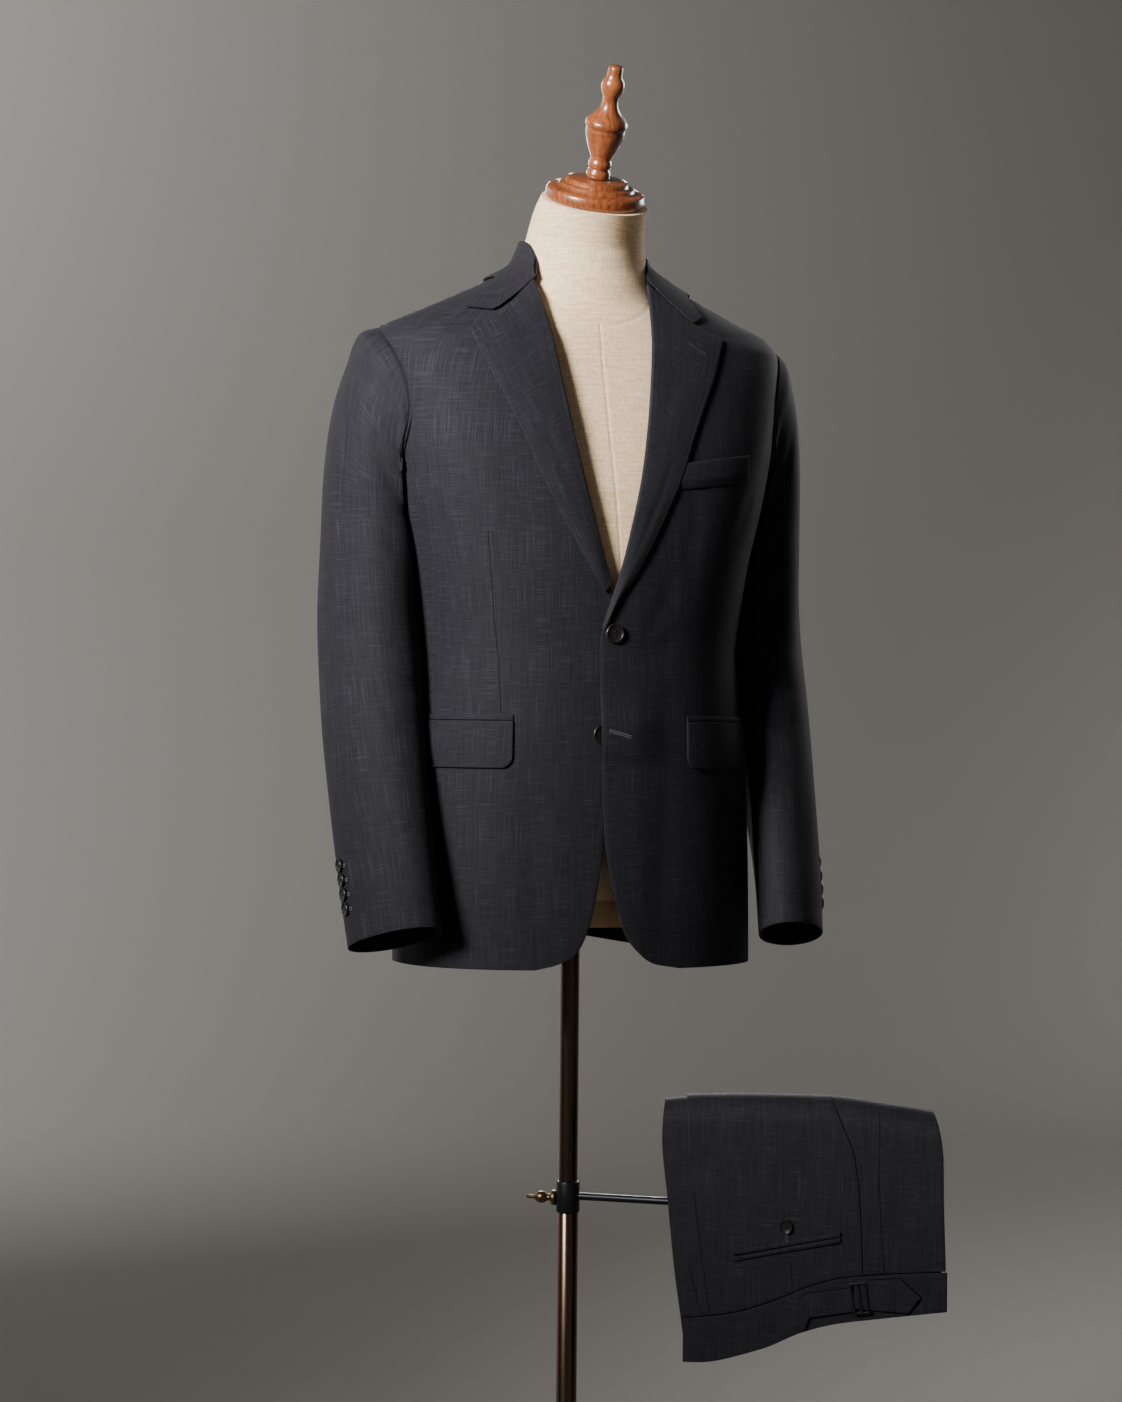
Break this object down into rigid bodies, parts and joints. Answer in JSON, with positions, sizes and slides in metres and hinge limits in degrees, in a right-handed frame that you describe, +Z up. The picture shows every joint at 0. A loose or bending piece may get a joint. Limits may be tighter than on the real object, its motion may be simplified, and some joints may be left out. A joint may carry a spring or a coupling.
{
  "type": "suit on dress form stand",
  "caption": "Two-piece suit: a notch-lapel jacket worn by a limbless linen dress form on a tube stand, with the trousers folded over the stand's side arm.",
  "frame": {"origin": "centre of the round base plate's underside, on the axis of the stand's tube", "axes": "+Z up along the tube, -Y towards the front of the form and jacket, +X towards the wearer's left"},
  "size_m": [0.603, 0.449, 1.7251],
  "materials": {
    "aged_brass": "darkened, satin",
    "black_metal": "black, satin",
    "bronze_tube": "dark bronze, satin gloss",
    "horn": "black horn, polished",
    "linen": "cream linen, matt",
    "suit_cloth": "fine charcoal worsted, soft sheen",
    "wood": "red-brown, gloss lacquer"
  },
  "bodies": {
    "base": {"base_plate": "bronze_tube", "pole_lower": "bronze_tube"},
    "upper": {"pole_upper": "bronze_tube"},
    "form": {"back_left": "suit_cloth", "back_right": "suit_cloth", "breast_welt": "suit_cloth", "button_low": "horn", "button_top": "horn", "collar": "suit_cloth", "cuff_button_left_1": "horn", "cuff_button_left_2": "horn", "cuff_button_left_3": "horn", "cuff_button_left_4": "horn", "cuff_button_right_1": "horn", "cuff_button_right_2": "horn", "cuff_button_right_3": "horn", "cuff_button_right_4": "horn", "finial": "wood", "flap_left": "suit_cloth", "flap_right": "suit_cloth", "form_body": "linen", "front_left": "suit_cloth", "front_right": "suit_cloth", "jet_left": "suit_cloth", "jet_right": "suit_cloth", "lapel_left": "suit_cloth", "lapel_right": "suit_cloth", "neck_cap": "wood", "side_left": "suit_cloth", "side_right": "suit_cloth", "top_sleeve_left": "suit_cloth", "top_sleeve_right": "suit_cloth", "under_sleeve_left": "suit_cloth", "under_sleeve_right": "suit_cloth"},
    "arm": {"clamp_collar": "black_metal", "trouser_arm": "black_metal", "trouser_back_panel": "suit_cloth", "trouser_front_panel": "suit_cloth", "trouser_layers": "suit_cloth", "trouser_waistband": "suit_cloth", "pocket_jet_upper": "suit_cloth", "pocket_jet_lower": "suit_cloth", "pocket_button": "horn", "adjuster_strap": "suit_cloth", "adjuster_tab": "suit_cloth", "adjuster_buckle": "black_metal"},
    "knob": {"clamp_knob": "aged_brass"}
  },
  "joints": [
    {"name": "form_height", "type": "slide", "parent": "base", "child": "upper", "axis": [0, 0, 1], "range_m": [-0.12, 0.1]},
    {"name": "form_turn", "type": "hinge", "parent": "upper", "child": "form", "pos_m": [0, 0, 0.88], "axis": [0, 0, 1], "continuous": true},
    {"name": "arm_swing", "type": "hinge", "parent": "base", "child": "arm", "pos_m": [0, 0, 0.543], "axis": [0, 0, 1], "continuous": true},
    {"name": "knob_turn", "type": "hinge", "parent": "arm", "child": "knob", "pos_m": [-0.01009, 0.00788, 0.54], "axis": [-0.788, 0.6157, 0], "continuous": true}
  ]
}
